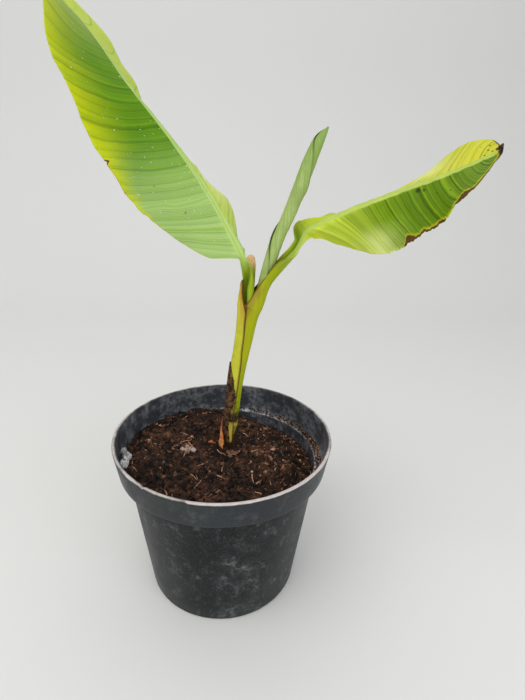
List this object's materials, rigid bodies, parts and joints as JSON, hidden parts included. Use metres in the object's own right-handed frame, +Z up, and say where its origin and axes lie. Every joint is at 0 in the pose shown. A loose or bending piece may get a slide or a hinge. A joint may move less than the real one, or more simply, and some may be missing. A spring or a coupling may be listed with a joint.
{
  "type": "potted banana plant",
  "caption": "Young banana plant in a round tapered nursery pot: a short sheathed stem, a tall arching leaf, a drooping leaf and a rolled new leaf.",
  "frame": {"origin": "centre of the pot's flat underside, level with the ground it stands on", "axes": "+Z up; -Y faces the viewer; +X is the viewer's right, the side the stem leans to; the tall leaf reaches to -X and the drooping leaf to +X and -Y"},
  "size_m": [0.3528, 0.2362, 0.5744],
  "materials": {
    "pot_plastic": "matt, scuffed and dusty",
    "soil": "moist fibrous potting soil",
    "stem_green": "satin",
    "sheath_yellow": "satin",
    "sheath_brown": "dry and papery",
    "sheath_orange": "dry and papery",
    "stalk_green": "satin",
    "leaf_green": "satin, pleated",
    "leaf_light": "satin, pleated",
    "leaf_rolled": "waxy",
    "dry_tan": "dry and papery"
  },
  "bodies": {
    "root": {"pot": "pot_plastic", "soil": "soil", "pseudostem": "stem_green", "yellow_sheath": "sheath_yellow", "dead_sheath": "sheath_brown", "orange_sheath": "sheath_orange", "right_stalk": "stalk_green", "left_stalk": "stalk_green", "rolled_leaf": "leaf_rolled", "dry_stub": "dry_tan", "dry_flap": "dry_tan", "left_leaf": "leaf_green", "right_leaf": "leaf_light"}
  },
  "joints": []
}
